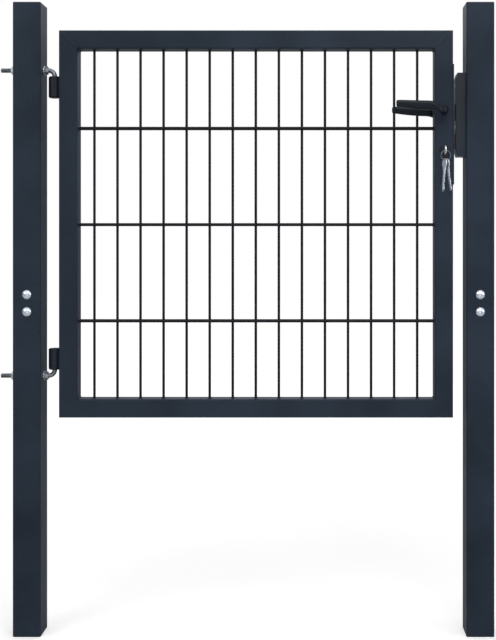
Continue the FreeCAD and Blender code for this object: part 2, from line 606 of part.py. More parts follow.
# Lock cylinder through the stile, with the plug that the key turns.
lock_cylinder = new_body("lock_cylinder")
for drawing in cylinder_outline("0"):
    pad(lock_cylinder, "XZ_Plane", "-" + CYLINDER_END, "2 * " + CYLINDER_END, *drawing)
pocket(lock_cylinder, "XZ_Plane", "%s - plug_length" % CYLINDER_END, "plug_length + %s" % PAST,
       draw_circle, LOCK_X, KEY_Z, "plug_dia + 2 * turn_gap")
node(lock_cylinder, "lock_cylinder")
plug = new_body("cylinder_plug")
pad(plug, "XZ_Plane", "%s - plug_length + turn_gap" % CYLINDER_END, "plug_length - turn_gap",
    draw_circle, LOCK_X, KEY_Z, "plug_dia")
pocket(plug, "XZ_Plane", "%s - blade_length - turn_gap" % CYLINDER_END, "blade_length + turn_gap + %s" % PAST,
       draw_oblong, LOCK_X, KEY_Z, "key_thick + 2 * turn_gap", "key_blade + 2 * turn_gap")
node(plug, "cylinder_plug")


# Keys: a round bow with a hole for the ring, a shoulder that stops at the plug, and a cut blade.

def key(name):
    """A key with its hole at the origin and its blade pointing down; the cuts face -Y."""
    body = new_body(name)
    bow_z = "(bow_hole_inset - bow_dia / 2)"
    shoulder_z = "(bow_hole_inset - bow_dia - shoulder_length)"
    tip_z = "(%s - blade_length)" % shoulder_z
    half_blade = "(key_blade / 2)"
    blade = [("-" + half_blade, shoulder_z), (half_blade, shoulder_z),
             (half_blade, "%s + %s" % (tip_z, half_blade)), ("0", tip_z),
             ("-" + half_blade, "%s + %s" % (tip_z, half_blade))]
    for number, depth in enumerate(BITTING_CUTS, start=1):
        cut_z = "%s + %s + %d * bitting_pitch" % (tip_z, half_blade, number)
        floor_y = "-%s + %g" % (half_blade, depth)
        blade += [("-" + half_blade, "%s - bitting_flat / 2 - %g" % (cut_z, depth)),
                  (floor_y, "%s - bitting_flat / 2" % cut_z), (floor_y, "%s + bitting_flat / 2" % cut_z),
                  ("-" + half_blade, "%s + bitting_flat / 2 + %g" % (cut_z, depth))]
    pad(body, "YZ_Plane", "-key_thick / 2", "key_thick", draw_circle, "0", bow_z, "bow_dia")
    pad(body, "YZ_Plane", "-key_thick / 2", "key_thick",
        draw_rectangle, "-shoulder_width / 2", "shoulder_width / 2", shoulder_z, bow_z)
    pad(body, "YZ_Plane", "-key_thick / 2", "key_thick", draw_polygon, blade)
    pocket(body, "YZ_Plane", "-key_thick", "2 * key_thick", draw_circle, "0", "0", "bow_hole")
    return body


inserted = key("inserted_key")
turn(inserted, rotation(X_AXIS, 90))
place(inserted, LOCK_X, "-" + KEY_HOLE_Y, KEY_Z)
node(inserted, "inserted_key")

# The key ring has a flat section and hangs in the key's hole; two keys hang side by side on it.
RING_TOP = "(%s - sqrt((bow_hole / 2 - ring_gap)^2 - ring_wire^2 / 4) + ring_wire / 2)" % KEY_Z
RING_Z = "(%s - ring_dia / 2)" % RING_TOP
key_ring = new_body("key_ring")
ring_sketch = sketch_on(key_ring, "XY_Plane", "0")
draw_oblong(ring_sketch, "ring_dia / 2", "0", "ring_wire", "ring_wire")
ring_turn = key_ring.newObject("PartDesign::Revolution", "key_ring_revolution")
ring_turn.Profile = ring_sketch
ring_turn.ReferenceAxis = (ring_sketch, ["V_Axis"])
ring_turn.Angle = 360
place(key_ring, LOCK_X, "-" + KEY_HOLE_Y, RING_Z)
node(key_ring, "key_ring")

HANG_Z = "(%s - ring_dia / 2 - hang_drop)" % RING_Z
hanging = []
for side, lean in KEY_LEANS:
    hung = key("hanging_key_" + side)
    turn(hung, rotation(Y_AXIS, -lean).multiply(rotation(Z_AXIS, KEY_YAW)))
    aside = "%s hang_spread" % ("-" if side == "left" else "+")
    place(hung, "%s %s" % (LOCK_X, aside), "-" + KEY_HOLE_Y, HANG_Z)
    hanging.append(hung)
node(compound("hanging_keys", hanging), "hanging_keys")

# Lever handles on both sides of the leaf, on one square spindle.
spindle = new_body("spindle")
pad(spindle, "XZ_Plane", "-spindle_reach", "2 * spindle_reach",
    draw_square, LOCK_X, SPINDLE_Z, "spindle_square")
node(spindle, "spindle")

NECK_X0 = "(%s - neck_width / 2)" % LOCK_X
NECK_X1 = "(%s + neck_width / 2)" % LOCK_X
TIP_X = "(%s - lever_length)" % NECK_X1
KNEE_X1 = "(%s - knee_start)" % NECK_X0
KNEE_X0 = "(%s - knee_run)" % KNEE_X1
LEVER_Z0 = "(%s - neck_height / 2)" % SPINDLE_Z
LEVER_Z1 = "(%s + tip_rise + tip_height)" % SPINDLE_Z


def is_sharp(shape, edge):
    """True where two faces of the shape meet in the edge at a sharp angle."""
    middle = edge.valueAt((edge.FirstParameter + edge.LastParameter) / 2)
    sides = [face for face in shape.Faces if any(other.isSame(edge) for other in face.Edges)]
    normals = [face.normalAt(*face.Surface.parameter(middle)) for face in sides]
    return len(normals) == 2 and abs(normals[0].dot(normals[1])) < SHARP_COSINE


def lever(name, front):
    """A neck out from the leaf, an elbow, and a grip that rises a little and thins to its tip."""
    body = new_body(name)
    sign = "-" if front else ""
    pad(body, "XY_Plane", LEVER_Z0, "%s - %s" % (LEVER_Z1, LEVER_Z0), draw_polygon, (
        (NECK_X0, sign + NECK_FACE), (NECK_X1, sign + NECK_FACE), (NECK_X1, sign + GRIP_FACE),
        (TIP_X, sign + GRIP_FACE), (TIP_X, "%s(%s - tip_thick)" % (sign, GRIP_FACE)),
        (NECK_X0, "%s(%s - grip_thick)" % (sign, GRIP_FACE))))
    slab_start = "-%s - %s" % (GRIP_FACE, PAST)
    slab_length = "2 * %s + 2 * %s" % (GRIP_FACE, PAST)
    pocket(body, "XZ_Plane", slab_start, slab_length, draw_polygon, (
        ("%s + %s" % (NECK_X1, PAST), "%s + neck_height / 2" % SPINDLE_Z),
        (KNEE_X1, "%s + neck_height / 2" % SPINDLE_Z),
        (KNEE_X0, "%s + knee_rise + knee_height / 2" % SPINDLE_Z),
        (TIP_X, "%s + tip_rise + tip_height / 2" % SPINDLE_Z),
        ("%s - %s" % (TIP_X, PAST), "%s + tip_rise + tip_height / 2" % SPINDLE_Z),
        ("%s - %s" % (TIP_X, PAST), "%s + %s" % (LEVER_Z1, PAST)),
        ("%s + %s" % (NECK_X1, PAST), "%s + %s" % (LEVER_Z1, PAST))))
    pocket(body, "XZ_Plane", slab_start, slab_length, draw_polygon, (
        (KNEE_X1, LEVER_Z0), (KNEE_X0, "%s + knee_rise - knee_height / 2" % SPINDLE_Z),
        (TIP_X, "%s + tip_rise - tip_height / 2" % SPINDLE_Z),
        ("%s - %s" % (TIP_X, PAST), "%s + tip_rise - tip_height / 2" % SPINDLE_Z),
        ("%s - %s" % (TIP_X, PAST), "%s - %s" % (LEVER_Z0, PAST)), (KNEE_X1, "%s - %s" % (LEVER_Z0, PAST))))
    elbow_x = body.Shape.BoundBox.XMax
    elbow_y = sheet.tube_width / 2 + sheet.lever_out
    neck_y = sheet.tube_width / 2 + sheet.lever_gap

    def is_elbow(edge):
        middle = edge.CenterOfMass
        off = max(abs(middle.x - elbow_x), abs(abs(middle.y) - elbow_y))
        return runs_along(Z_AXIS)(edge) and off < 0.01

    fillet(body, "elbow_radius", is_elbow)
    bent = body.Tip.Shape

    def is_long_edge(edge):
        return abs(abs(edge.CenterOfMass.y) - neck_y) > 1 and is_sharp(bent, edge)

    fillet(body, "grip_round", is_long_edge)
    socket = "%s - %s" % (NECK_FACE, PAST) if front else "-spindle_reach - turn_gap"
    pocket(body, "XZ_Plane", socket, "spindle_reach + turn_gap - %s + %s" % (NECK_FACE, PAST),
           draw_square, LOCK_X, SPINDLE_Z, "spindle_square + 2 * turn_gap")
    node(body, name)


lever("front_lever", True)
lever("back_lever", False)

doc.recompute()
for thing in doc.Objects:
    if {"Invalid", "Error"} & set(thing.State):
        raise RuntimeError("%s failed to build: %s" % (thing.Label, thing.State))
for piece in NODES:
    if piece.Shape.isNull() or not piece.Shape.isValid() or not piece.Shape.Solids:
        raise RuntimeError("%s has no valid solid" % piece.Label)

os.makedirs("parts", exist_ok=True)
for piece in NODES:
    piece.Shape.exportStep(os.path.join("parts", piece.Label + ".step"))
    print("%-24s %d solids %10.0f mm3" % (piece.Label, len(piece.Shape.Solids), piece.Shape.Volume))
print(len(NODES), "nodes")
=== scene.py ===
import json
import math
import bmesh
import bpy
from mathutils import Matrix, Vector


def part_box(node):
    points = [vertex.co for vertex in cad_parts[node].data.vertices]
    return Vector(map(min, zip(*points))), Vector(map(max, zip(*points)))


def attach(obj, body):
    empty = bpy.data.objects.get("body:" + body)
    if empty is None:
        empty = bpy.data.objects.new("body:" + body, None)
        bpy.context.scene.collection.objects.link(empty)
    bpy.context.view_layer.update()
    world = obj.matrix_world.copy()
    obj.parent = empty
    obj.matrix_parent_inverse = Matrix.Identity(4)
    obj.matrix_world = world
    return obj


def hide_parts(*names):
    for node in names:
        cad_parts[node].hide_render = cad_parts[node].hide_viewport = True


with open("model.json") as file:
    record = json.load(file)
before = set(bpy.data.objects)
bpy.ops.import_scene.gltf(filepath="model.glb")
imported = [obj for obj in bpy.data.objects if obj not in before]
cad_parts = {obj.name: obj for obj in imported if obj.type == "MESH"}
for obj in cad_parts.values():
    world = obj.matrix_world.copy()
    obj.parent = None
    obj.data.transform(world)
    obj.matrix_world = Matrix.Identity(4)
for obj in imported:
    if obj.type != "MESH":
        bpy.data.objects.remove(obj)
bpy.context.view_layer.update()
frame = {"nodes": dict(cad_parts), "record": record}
MM = 0.001

# The camera stands square in front of the gate, 2.2 m from the posts' front faces and level, with the
# lens's centre right of the gate's middle and at five eighths of its height, as the sides' slant shows.
photo_height = 640
photo_centre = Vector((248, 320))
vanishing_point = Vector((310, 240))
eye_distance = 2200 * MM
eye_height = 850 * MM
eye_across = 606.9 * MM
metres_per_pixel = 2.14 * MM
sensor = 36
front_of_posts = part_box("hinge_post_lower")[0].y
bpy.ops.object.select_all(action="DESELECT")
bpy.ops.object.camera_add(
    location=(eye_across, front_of_posts - eye_distance, eye_height),
    rotation=(math.radians(90), 0, 0),
)
camera = bpy.context.active_object
camera.name = "photo_camera"
camera.data.sensor_fit = "VERTICAL"
camera.data.sensor_height = sensor
camera.data.lens = sensor * eye_distance / metres_per_pixel / photo_height
camera.data.shift_x = (photo_centre.x - vanishing_point.x) / photo_height
camera.data.shift_y = (vanishing_point.y - photo_centre.y) / photo_height
bpy.context.scene.camera = camera
bpy.context.scene.view_settings.view_transform = "Standard"


def linear(colour):
    """An sRGB hex colour as the four linear values that a socket takes."""
    parts = [int(colour[place:place + 2], 16) / 255 for place in (1, 3, 5)]
    return [p / 12.92 if p <= 0.04045 else ((p + 0.055) / 1.055) ** 2.4 for p in parts] + [1]


def add_node(tree, kind, inputs=None, **settings):
    """Adds one node, with its settings, and its inputs as constants or as links from other nodes."""
    added = tree.nodes.new(kind)
    for setting, value in settings.items():
        setattr(added, setting, value)
    for socket, value in (inputs or {}).items():
        if isinstance(value, bpy.types.NodeSocket):
            tree.links.new(value, added.inputs[socket])
        else:
            added.inputs[socket].default_value = value
    return added


def spread(tree, value, low, high, start=0.0, end=1.0, interpolation="LINEAR"):
    """A value that runs from start to end, stretched so that it runs from low to high."""
    stretched = add_node(
        tree, "ShaderNodeMapRange",
        {"Value": value, "From Min": start, "From Max": end, "To Min": low, "To Max": high},
        interpolation_type=interpolation,
    )
    return stretched.outputs["Result"]


# The studio is a white cove with two large soft boxes high before the gate, one at its right, a low card
# that lifts the feet and a box behind. Mirrored in the gate, its ceiling is white and its walls are dimmer.
cove_white = linear("#ffffff")
mirrored_white = linear("#e4ecf8")
light_round_gate = 0.5
near_wall = 0.36
far_wall = 0.45
wall_turns = (-0.6, 0.5)
ceiling = 1.0
ceiling_starts = (0.0, 0.55)
world = bpy.data.worlds.new("white_cove")
bpy.context.scene.world = world
world.use_nodes = True
world.node_tree.nodes.clear()
way = add_node(world.node_tree, "ShaderNodeTexCoord")
split = add_node(world.node_tree, "ShaderNodeSeparateXYZ", {"Vector": way.outputs["Generated"]})
wall = spread(world.node_tree, split.outputs["Y"], near_wall, far_wall, *wall_turns, "SMOOTHSTEP")
overhead = spread(world.node_tree, split.outputs["Z"], 0, ceiling, *ceiling_starts, "SMOOTHSTEP")
mirrored = add_node(world.node_tree, "ShaderNodeMath", {0: wall, 1: overhead}, operation="MAXIMUM")
ray = add_node(world.node_tree, "ShaderNodeLightPath")
seen = add_node(
    world.node_tree, "ShaderNodeMath",
    {0: ray.outputs["Is Camera Ray"], 1: ray.outputs["Is Transmission Ray"]},
    operation="MAXIMUM",
)
strength = add_node(
    world.node_tree, "ShaderNodeMix",
    {"Factor": seen.outputs["Value"], "A": light_round_gate, "B": 1.0},
)
cove = add_node(
    world.node_tree, "ShaderNodeBackground",
    {"Color": cove_white, "Strength": strength.outputs["Result"]},
)
mirrored_cove = add_node(
    world.node_tree, "ShaderNodeBackground",
    {"Color": mirrored_white, "Strength": mirrored.outputs["Value"]},
)
studio = add_node(
    world.node_tree, "ShaderNodeMixShader",
    {0: ray.outputs["Is Glossy Ray"], 1: cove.outputs[0], 2: mirrored_cove.outputs[0]},
)
add_node(world.node_tree, "ShaderNodeOutputWorld", {"Surface": studio.outputs["Shader"]})

soft_boxes = (
    ("soft_box_left", Vector((-1.7, -2.2, 2.3)), 1.8, 24),
    ("soft_box_right", Vector((1.0, -1.7, 2.4)), 1.2, 17),
    ("soft_box_side", Vector((3.2, -1.3, 1.3)), 1.4, 14),
    ("low_card", Vector((0.5, -2.4, 0.3)), 1.2, 5),
    ("soft_box_behind", Vector((0.5, 2.4, 2.6)), 1.8, 12),
)
lit_point = Vector((0.5, 0, 0.8))
for name, place_of_box, width, power in soft_boxes:
    bpy.ops.object.light_add(type="AREA", location=place_of_box)
    box = bpy.context.active_object
    box.name = name
    box.rotation_euler = (lit_point - place_of_box).to_track_quat("-Z", "Y").to_euler()
    box.data.size = width
    box.data.energy = power

# The floor is the cove's own pale paint, plain and matt. It keeps the gate's shadow. The camera sees it
# brighter than it is lit, more so away from the gate, so that it runs into the white, and the gate mirrors
# it dimmer, as it does the walls.
floor_size = 24
lift_near = 0.38
lift_far = 0.62
lift_runs = (0.6, 3.2)


def new_material(name):
    """An empty material, its node tree, and the Object coordinates that its patterns are laid on."""
    material = bpy.data.materials.new(name)
    material.use_nodes = True
    material.node_tree.nodes.clear()
    spot = add_node(material.node_tree, "ShaderNodeTexCoord").outputs["Object"]
    return material, material.node_tree, spot


def ramp(tree, factor, first, second, start=0.0, end=1.0):
    """A blend from one colour to another."""
    blend = add_node(tree, "ShaderNodeValToRGB", {"Fac": factor})
    for element, colour, position in zip(blend.color_ramp.elements, (first, second), (start, end)):
        element.color = linear(colour)
        element.position = position
    return blend.outputs["Color"]


bpy.ops.object.select_all(action="DESELECT")
bpy.ops.mesh.primitive_plane_add(size=floor_size, location=(eye_across, 0, 0))
floor = bpy.context.active_object
floor.name = "cove_floor"
floor_paint, tree, spot = new_material("cove_floor_paint")
ray = add_node(tree, "ShaderNodeLightPath")
away = add_node(tree, "ShaderNodeVectorMath", {0: spot}, operation="LENGTH")
lifted = spread(tree, away.outputs["Value"], lift_near, lift_far, *lift_runs)
seen = add_node(tree, "ShaderNodeMath", {0: ray.outputs["Is Camera Ray"], 1: lifted}, operation="MULTIPLY")
shade = ramp(tree, ray.outputs["Is Glossy Ray"], "#ececec", "#cdd0d5")
matt = add_node(tree, "ShaderNodeBsdfDiffuse", {"Color": shade})
lift = add_node(tree, "ShaderNodeEmission", {"Color": cove_white, "Strength": seen.outputs["Value"]})
both = add_node(tree, "ShaderNodeAddShader", {0: matt.outputs[0], 1: lift.outputs[0]})
add_node(tree, "ShaderNodeOutputMaterial", {"Surface": both.outputs[0]})
floor.data.materials.append(floor_paint)


# The posts are square steel tube in two lengths, slid onto an inner sleeve at mid-height. They are
# powder-coated anthracite, and the cut ends butt together in a fine seam.
body_of = {}
for body, members in frame["record"]["behaviour"]["bodies"].items():
    for member in members:
        body_of[member] = body


def alone(piece):
    """Selects one object and nothing else."""
    bpy.ops.object.select_all(action="DESELECT")
    piece.select_set(True)
    bpy.context.view_layer.objects.active = piece


def solid_copy(node):
    """A merged copy of a CAD solid, with each flat side in as few faces as it takes."""
    piece = bpy.data.objects.new("finished_" + node, frame["nodes"][node].data.copy())
    bpy.context.scene.collection.objects.link(piece)
    alone(piece)
    bpy.ops.object.mode_set(mode="EDIT")
    bpy.ops.mesh.select_all(action="SELECT")
    bpy.ops.mesh.remove_doubles(threshold=0.001 * MM)
    bpy.ops.mesh.dissolve_limited(angle_limit=math.radians(0.5))
    bpy.ops.object.mode_set(mode="OBJECT")
    return piece


def soften(piece, edge=0.0, segments=2, angle=30):
    """Rounds the sharp edges by this many millimetres, and keeps the flats evenly shaded."""
    alone(piece)
    if edge:
        bpy.ops.object.modifier_add(type="BEVEL")
        rounding = piece.modifiers[-1]
        rounding.width = edge * MM
        rounding.segments = segments
        rounding.limit_method = "ANGLE"
        rounding.angle_limit = math.radians(angle)
        bpy.ops.object.modifier_apply(modifier=rounding.name)
    bpy.ops.object.shade_smooth_by_angle(angle=math.radians(angle + 5))
    bpy.ops.object.modifier_add(type="WEIGHTED_NORMAL")
    flats = piece.modifiers[-1]
    flats.keep_sharp = True
    bpy.ops.object.modifier_apply(modifier=flats.name)


def fit(piece, node, material):
    """Gives a piece its finish, and puts it on the gate in place of a CAD node."""
    piece.data.materials.clear()
    piece.data.materials.append(material)
    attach(piece, body_of[node])
    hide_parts(node)


def noise(tree, spot, size, detail):
    """A cloudy pattern with features of this many millimetres."""
    inputs = {"Vector": spot, "Scale": 1 / (size * MM), "Detail": detail}
    clouds = add_node(tree, "ShaderNodeTexNoise", inputs)
    return clouds.outputs["Fac"]


def relief(tree, height, strength, depth, under=None):
    """Fine relief of this many millimetres, over another where one is given."""
    inputs = {"Height": height, "Strength": strength, "Distance": depth * MM}
    if under is not None:
        inputs["Normal"] = under
    return add_node(tree, "ShaderNodeBump", inputs).outputs["Normal"]


def surface(tree, inputs):
    """The surface that ends a material."""
    body = add_node(tree, "ShaderNodeBsdfPrincipled", inputs)
    add_node(tree, "ShaderNodeOutputMaterial", {"Surface": body.outputs["BSDF"]})


def powder_coat(name, dark, light, roughness, gloss):
    """Baked polyester powder, which gives slow shifts of shade, flecks, orange peel and a soft sheen."""
    coat, tree, spot = new_material(name)
    drift = noise(tree, spot, size=170, detail=3)
    fleck = noise(tree, spot, size=2.2, detail=3)
    mottled = add_node(tree, "ShaderNodeMath", {0: fleck, 1: 0.4, 2: drift}, operation="MULTIPLY_ADD")
    haze = noise(tree, spot, size=45, detail=4)
    ripple = noise(tree, spot, size=60, detail=1)
    rippled = relief(tree, ripple, strength=0.5, depth=0.5)
    # Orange peel is about 1 mm across on the real coat, and is drawn at 1.6 mm so that it shows.
    peel = noise(tree, spot, size=1.6, detail=1)
    surface(tree, {
        "Base Color": ramp(tree, mottled.outputs["Value"], dark, light, start=0.52, end=0.88),
        "Roughness": spread(tree, haze, roughness - 0.06, roughness + 0.06),
        "IOR": 1.5,
        "Specular IOR Level": gloss,
        "Normal": relief(tree, peel, strength=0.7, depth=0.09, under=rippled),
    })
    return coat


tube_coat = powder_coat(
    "satin_anthracite_powder_coat", "#19232e", "#26303d", roughness=0.48, gloss=0.15)
for post in ("hinge_post", "latch_post"):
    for part in ("lower", "upper", "sleeve"):
        tube = solid_copy(f"{post}_{part}")
        soften(tube)
        fit(tube, f"{post}_{part}", tube_coat)


# Each post end is closed by a pressed-in cap, injection-moulded in dark grey polyethylene: a plate as
# wide as the tube with rounded edges, over a hollow plug that grips the tube's inside.
post_width = 60
post_top = 1360
cap_plate = 3
cap_plug = 16
cap_inset = 2.2
cap_wall = 2
cap_corner = 4
cap_edge = 1


def pick(piece, kind, wanted):
    """Selects, in edit mode, just the vertices, edges or faces that pass the test."""
    bpy.ops.mesh.select_mode(type=kind)
    bpy.ops.mesh.select_all(action="DESELECT")
    mesh = bmesh.from_edit_mesh(piece.data)
    for thing in {"VERT": mesh.verts, "EDGE": mesh.edges, "FACE": mesh.faces}[kind]:
        if wanted(thing):
            thing.select_set(True)
    mesh.select_flush_mode()
    bmesh.update_edit_mesh(piece.data)


def place(piece, to, turn=(0, 0, 0)):
    """Turns a piece by degrees, moves it by millimetres, and makes both part of its mesh."""
    piece.rotation_euler = [math.radians(angle) for angle in turn]
    piece.location = Vector(to) * MM
    alone(piece)
    bpy.ops.object.transform_apply(location=True, rotation=True, scale=True)


def copy_of(piece, name):
    """A copy with its own mesh."""
    twin = bpy.data.objects.new(name, piece.data.copy())
    bpy.context.scene.collection.objects.link(twin)
    return twin


def add_block(name, low, high):
    """A box between two corners, in millimetres."""
    middle = (Vector(low) + Vector(high)) / 2 * MM
    bpy.ops.object.select_all(action="DESELECT")
    bpy.ops.mesh.primitive_cube_add(size=1, location=middle, scale=(Vector(high) - Vector(low)) * MM)
    block = bpy.context.active_object
    block.name = name
    bpy.ops.object.transform_apply(location=True, rotation=True, scale=True)
    return block


def extrude(x, y, z):
    """Extrudes what is selected by this many millimetres."""
    bpy.ops.mesh.extrude_region_move(TRANSFORM_OT_translate={"value": Vector((x, y, z)) * MM})


half_post = post_width / 2
cap = add_block("moulded_cap", (-half_post, -half_post, -cap_plate), (half_post, half_post, 0))
bpy.ops.object.mode_set(mode="EDIT")
pick(cap, "EDGE", lambda edge: abs(edge.verts[0].co.z - edge.verts[1].co.z) > 1 * MM)
bpy.ops.mesh.bevel(offset=cap_corner * MM, segments=5, affect="EDGES")
pick(cap, "FACE", lambda face: face.normal.z < -0.9)
bpy.ops.mesh.inset(thickness=cap_inset * MM)
extrude(0, 0, -cap_plug)
bpy.ops.mesh.inset(thickness=cap_wall * MM)
extrude(0, 0, cap_plug)
pick(cap, "EDGE", lambda edge: all(abs(corner.co.z) < 0.01 * MM for corner in edge.verts))
bpy.ops.mesh.bevel(offset=cap_edge * MM, segments=3, affect="EDGES")
bpy.ops.object.mode_set(mode="OBJECT")
soften(cap)


def moulded(name, dark, light, roughness, gloss):
    """Moulded plastic, which has a fine even grain from the mould, a soft sheen and no sparkle."""
    plastic, tree, spot = new_material(name)
    cloud = noise(tree, spot, size=12, detail=4)
    grain = noise(tree, spot, size=0.7, detail=2)
    surface(tree, {
        "Base Color": ramp(tree, cloud, dark, light),
        "Roughness": spread(tree, cloud, roughness - 0.08, roughness + 0.08),
        "IOR": 1.5,
        "Specular IOR Level": gloss,
        "Normal": relief(tree, grain, strength=0.5, depth=0.05),
    })
    return plastic


cap_plastic = moulded("moulded_polyethylene", "#1a1f25", "#262c34", roughness=0.5, gloss=0.3)
post_places = {}
for post in ("hinge_post", "latch_post"):
    post_low, post_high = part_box(post + "_lower")
    post_places[post] = (post_low.x + post_high.x) / 2 / MM
for post, post_x in post_places.items():
    for end, level, tilt in (("top", post_top, 0), ("foot", 0, 180)):
        pressed = copy_of(cap, f"{post}_moulded_{end}_cap")
        place(pressed, (post_x, 0, level), (tilt, 0, 0))
        fit(pressed, f"{post}_{end}_cap", cap_plastic)
bpy.data.objects.remove(cap)


# Two dome-headed M8 bolts hold each post's upper tube to its sleeve. They are cold-headed in stainless
# steel and polished, with the thread rolled on the far end.
dome_dia = 20
dome_rise = 5
shank_dia = 8
post_nut = 6.5
bolt_tail = 2
seam_height = 680
bolt_levels = (seam_height + 16, seam_height + 53)
dome_steps = 8
point_radius = 3.1
post_thread_root = 3.3
post_thread_pitch = 1.25


def start_point(name, radius, height):
    """A piece of a single point, in edit mode, for an outline to be extruded from."""
    bpy.ops.object.select_all(action="DESELECT")
    bpy.ops.mesh.primitive_plane_add(size=MM)
    piece = bpy.context.active_object
    piece.name = name
    bpy.ops.object.mode_set(mode="EDIT")
    bpy.ops.mesh.select_mode(type="VERT")
    bpy.ops.mesh.merge(type="CENTER")
    bpy.ops.transform.translate(value=(radius * MM, 0, height * MM))
    return piece


def leave_edit(gap=0.0):
    """Merges points closer than this many millimetres, turns the faces outward and leaves edit mode."""
    bpy.ops.mesh.select_all(action="SELECT")
    if gap:
        bpy.ops.mesh.remove_doubles(threshold=gap * MM)
    bpy.ops.mesh.normals_make_consistent(inside=False)
    bpy.ops.object.mode_set(mode="OBJECT")


def lathe(name, outline, steps):
    """A piece turned about the Z axis, from an outline drawn point by point as radius and height."""
    piece = start_point(name, *outline[0])
    here = Vector((outline[0][0], 0, outline[0][1])) * MM
    for radius, height in outline[1:]:
        there = Vector((radius, 0, height)) * MM
        bpy.ops.mesh.extrude_vertices_move(TRANSFORM_OT_translate={"value": there - here})
        here = there
    bpy.ops.mesh.select_all(action="SELECT")
    bpy.ops.mesh.spin(steps=steps, angle=math.tau, center=(0, 0, 0), axis=(0, 0, 1))
    leave_edit(gap=0.002)
    return piece


def ridges(root, crest, start, end, pitch):
    """The outline of a rolled thread, as a row of grooves from one height to another."""
    rows = []
    for turn in range(int((end - start) / pitch)):
        foot = start + turn * pitch
        rows += [(root, foot), (crest, foot + 0.4 * pitch), (crest, foot + 0.6 * pitch)]
    return rows + [(root, end)]


dome_radius = (dome_dia ** 2 / 4 + dome_rise ** 2) / (2 * dome_rise)
dome_half_angle = math.asin(dome_dia / 2 / dome_radius)
dome = []
for step in range(dome_steps + 1):
    lean = dome_half_angle * (1 - step / dome_steps)
    dome.append((dome_radius * math.sin(lean), dome_radius * (math.cos(lean) - 1) + dome_rise))
shank_end = -(post_width + post_nut + bolt_tail)
shank_radius = shank_dia / 2
bolt_outline = [(0, shank_end), (point_radius, shank_end)]
bolt_outline += ridges(
    post_thread_root, shank_radius, shank_end + 0.6, shank_end + 13, post_thread_pitch)
bolt_outline += [(shank_radius, shank_end + 14), (shank_radius, 0), (dome_dia / 2 - 0.3, 0)] + dome
dome_bolt = lathe("dome_bolt", bolt_outline, steps=40)
soften(dome_bolt, angle=40)

# Polished stainless is bright and neutral, with hair-fine scratches and a few dull finger marks.
polished_steel, tree, spot = new_material("polished_stainless_steel")
marks = noise(tree, spot, size=5, detail=5)
# The scratches are finer than a tenth of a millimetre, and are drawn at 0.4 mm so that they show.
scratches = noise(tree, spot, size=0.4, detail=2)
surface(tree, {
    "Base Color": linear("#e3e7ec"),
    "Metallic": 1,
    "Roughness": spread(tree, marks, low=0.2, high=0.34, start=0.3, end=0.7),
    "Normal": relief(tree, scratches, strength=0.15, depth=0.01),
})
for post, post_x in post_places.items():
    for number, level in enumerate(bolt_levels, start=1):
        bolt = copy_of(dome_bolt, f"{post}_dome_bolt_{number}")
        place(bolt, (post_x, -half_post, level), (90, 0, 0))
        fit(bolt, "post_bolts", polished_steel)
bpy.data.objects.remove(dome_bolt)


# The nuts of these bolts and of the hinge bolts are hexagon nuts, pressed from steel with their corners
# chamfered both ways, tapped, and zinc-plated bright in a barrel.
post_nut_flats = 13
nut_chamfer = 30
nut_land = 0.94
nut_edge = 0.15


def cut_with(piece, tool, operation):
    """Cuts or trims a piece with a tool, which is then thrown away."""
    alone(piece)
    bpy.ops.object.modifier_add(type="BOOLEAN")
    cutter = piece.modifiers[-1]
    cutter.operation = operation
    cutter.object = tool
    cutter.solver = "EXACT"
    bpy.ops.object.modifier_apply(modifier=cutter.name)
    bpy.data.objects.remove(tool)
    bpy.ops.object.mode_set(mode="EDIT")
    bpy.ops.mesh.select_all(action="SELECT")
    bpy.ops.mesh.remove_doubles(threshold=0.01 * MM)
    bpy.ops.object.mode_set(mode="OBJECT")


def hexagon_nut(name, flats, thick, thread_dia):
    """A nut about the Z axis from height 0: a six-sided slug, trimmed to its chamfers and tapped."""
    bpy.ops.object.select_all(action="DESELECT")
    corner = flats / math.sqrt(3)
    bpy.ops.mesh.primitive_cylinder_add(
        vertices=6, radius=corner * MM, depth=thick * MM, location=(0, 0, thick / 2 * MM))
    nut = bpy.context.active_object
    nut.name = name
    bpy.ops.object.transform_apply(location=True, rotation=True, scale=True)
    land = nut_land * flats / 2
    wide = corner + 0.4
    rise = (wide - land) * math.tan(math.radians(nut_chamfer))
    crown = lathe(name + "_crown", [
        (0, 0), (land, 0), (wide, rise), (wide, thick - rise), (land, thick), (0, thick)], steps=48)
    cut_with(nut, crown, "INTERSECT")
    hole = thread_dia / 2 + 0.05
    mouth = hole + 1.6
    tap = lathe(name + "_tap", [
        (0, -1), (mouth, -1), (hole, 0.6), (hole, thick - 0.6), (mouth, thick + 1),
        (0, thick + 1)], steps=40)
    cut_with(nut, tap, "DIFFERENCE")
    soften(nut, nut_edge, segments=1)
    return nut


def zinc(name, dark, light, smooth, rough):
    """Zinc plate, a cool grey with a faint yellow cast in places, cloudy where the plate is thicker."""
    plate, tree, spot = new_material(name)
    cloud = noise(tree, spot, size=9, detail=5)
    pits = noise(tree, spot, size=0.6, detail=2)
    surface(tree, {
        "Base Color": ramp(tree, cloud, dark, light, start=0.3, end=0.7),
        "Metallic": 1,
        "Roughness": spread(tree, cloud, low=rough, high=smooth, start=0.3, end=0.7),
        "Normal": relief(tree, pits, strength=0.3, depth=0.02),
    })
    return plate


zinc_plate = zinc("bright_zinc_plate", "#c3c8cd", "#dddedb", smooth=0.22, rough=0.34)
nut = hexagon_nut("post_nut", post_nut_flats, post_nut, shank_dia)
for post, post_x in post_places.items():
    for number, level in enumerate(bolt_levels, start=1):
        fastened = copy_of(nut, f"{post}_hexagon_nut_{number}")
        place(fastened, (post_x, half_post, level), (-90, 0, 0))
        fit(fastened, "post_bolt_nuts", zinc_plate)
bpy.data.objects.remove(nut)


